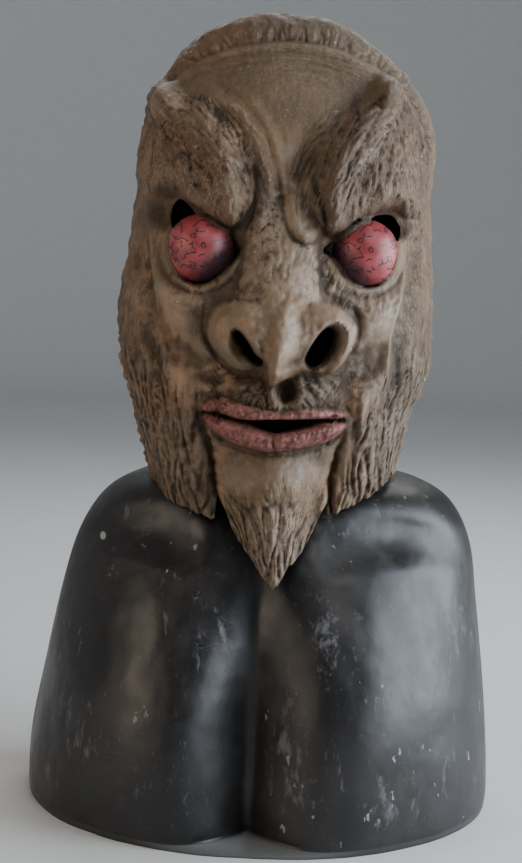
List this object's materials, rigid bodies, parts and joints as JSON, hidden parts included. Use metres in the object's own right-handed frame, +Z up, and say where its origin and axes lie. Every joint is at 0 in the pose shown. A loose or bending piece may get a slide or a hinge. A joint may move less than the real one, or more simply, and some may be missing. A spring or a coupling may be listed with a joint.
{
  "type": "horror mask",
  "caption": "Full-head horror mask of hollow latex with horned brows, cast eyes and a goatee, worn by its own black display bust.",
  "frame": {"origin": "middle of the whole object's bounding box, at the level of the bust's underside", "axes": "+Z up, -Y the way the bust faces, +X to the viewer's right when looking at the face; the mask is turned 3 degrees on the bust"},
  "size_m": [0.362, 0.279, 0.6021],
  "materials": {
    "latex": "hand-painted grey-brown latex, dark in its recesses, dry and slightly uneven",
    "eyes": "glossy cast resin, red with a dusky lower rim",
    "bust": "black lacquer, worn, with chips and scuffs"
  },
  "bodies": {
    "root": {"mask_skin": "latex", "eye_left": "eyes", "eye_right": "eyes", "display_bust": "bust"}
  },
  "joints": []
}
